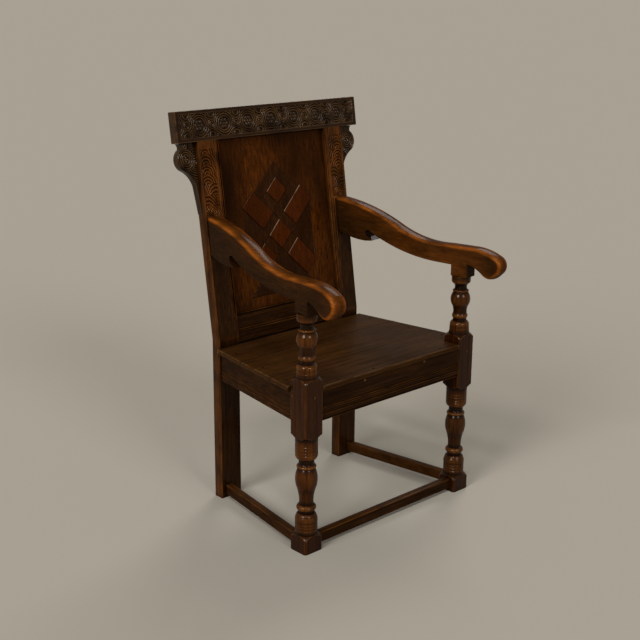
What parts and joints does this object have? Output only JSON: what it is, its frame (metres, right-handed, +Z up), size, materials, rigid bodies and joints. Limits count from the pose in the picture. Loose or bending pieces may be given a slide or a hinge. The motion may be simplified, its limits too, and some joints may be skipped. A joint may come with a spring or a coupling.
{
  "type": "joined armchair",
  "caption": "Joined oak armchair with a raked panelled back, carved crest rail and brackets, shaped scroll arms on turned posts, a boarded seat and low stretchers.",
  "frame": {"origin": "centre of the overall box on the floor plane the chair stands on", "axes": "+Z up, +X to the right of someone facing the chair, +Y towards the back"},
  "size_m": [0.598, 0.5879, 0.9947],
  "materials": {
    "frame_oak": "dark waxed oak with worn edges",
    "turned_oak": "glossy dark waxed oak",
    "carved_oak": "dark waxed oak, carved",
    "panel_oak": "red-brown waxed oak, vertical grain",
    "seat_oak": "brown waxed oak, worn sheen",
    "arm_oak": "waxed oak polished by hands",
    "light_lozenge": "reddish waxed veneer blocks",
    "dark_lozenge": "dark stained veneer",
    "peg_oak": "dark waxed oak end grain"
  },
  "bodies": {
    "root": {"front_post_left": "turned_oak", "front_post_right": "turned_oak", "rear_stile_left": "frame_oak", "rear_stile_right": "frame_oak", "crest_rail": "carved_oak", "scroll_bracket_left": "carved_oak", "scroll_bracket_right": "carved_oak", "back_panel": "panel_oak", "panel_lozenges_light": "light_lozenge", "panel_lozenges_dark": "dark_lozenge", "lower_back_rail": "frame_oak", "front_seat_rail": "frame_oak", "rear_seat_rail": "frame_oak", "side_seat_rail_left": "frame_oak", "side_seat_rail_right": "frame_oak", "seat_board_front": "seat_oak", "seat_board_middle": "seat_oak", "seat_board_rear": "seat_oak", "scroll_arm_left": "arm_oak", "scroll_arm_right": "arm_oak", "front_stretcher": "frame_oak", "side_stretcher_left": "frame_oak", "side_stretcher_right": "frame_oak", "rail_pegs": "peg_oak", "arm_pegs": "peg_oak", "bracket_pins": "peg_oak", "seat_pins": "peg_oak"}
  },
  "joints": []
}
